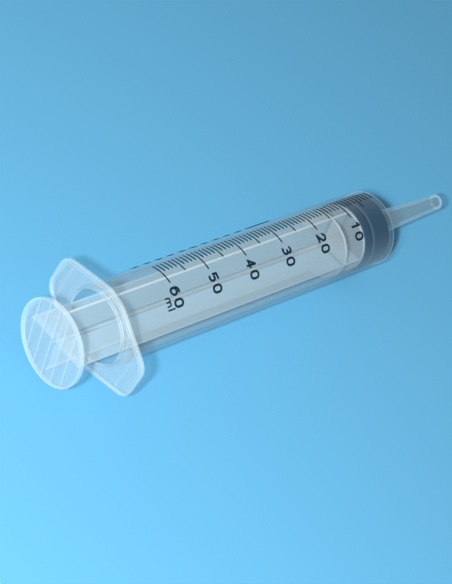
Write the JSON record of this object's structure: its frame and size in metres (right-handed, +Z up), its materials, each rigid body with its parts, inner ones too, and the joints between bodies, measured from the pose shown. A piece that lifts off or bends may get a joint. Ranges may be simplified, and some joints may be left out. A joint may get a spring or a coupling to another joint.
{
  "type": "catheter tip syringe",
  "caption": "Large oral and feeding syringe: clear barrel with a finger flange, tapered catheter tip, printed volume scale, rubber stopper and cross-shaped plunger rod.",
  "frame": {"origin": "under the middle of the whole length with the plunger home, on the surface that the finger flange's lower flat stands on", "axes": "+X along the barrel to the catheter tip, +Y along the finger flange, +Z up through the middle of the printed scale"},
  "size_m": [0.1932, 0.0496, 0.036],
  "materials": {
    "clear_barrel": "translucent moulded, semi-gloss",
    "clear_rod": "translucent milky moulded, semi-gloss",
    "rubber": "moulded, matte",
    "ink": "printed ink, matte"
  },
  "bodies": {
    "barrel": {"barrel": "clear_barrel", "scale_lines": "ink", "side_marks": "ink", "scale_numbers": "ink"},
    "stopper": {"stopper": "rubber"},
    "plunger": {"plunger_rod": "clear_rod"}
  },
  "joints": [
    {"name": "plunger_slide", "type": "slide", "parent": "barrel", "child": "stopper", "axis": [-1, 0, 0], "range_m": [0, 0.1158]},
    {"name": "rod_turn", "type": "hinge", "parent": "stopper", "child": "plunger", "pos_m": [0.0415, 0, 0.018], "axis": [1, 0, 0], "continuous": true}
  ]
}
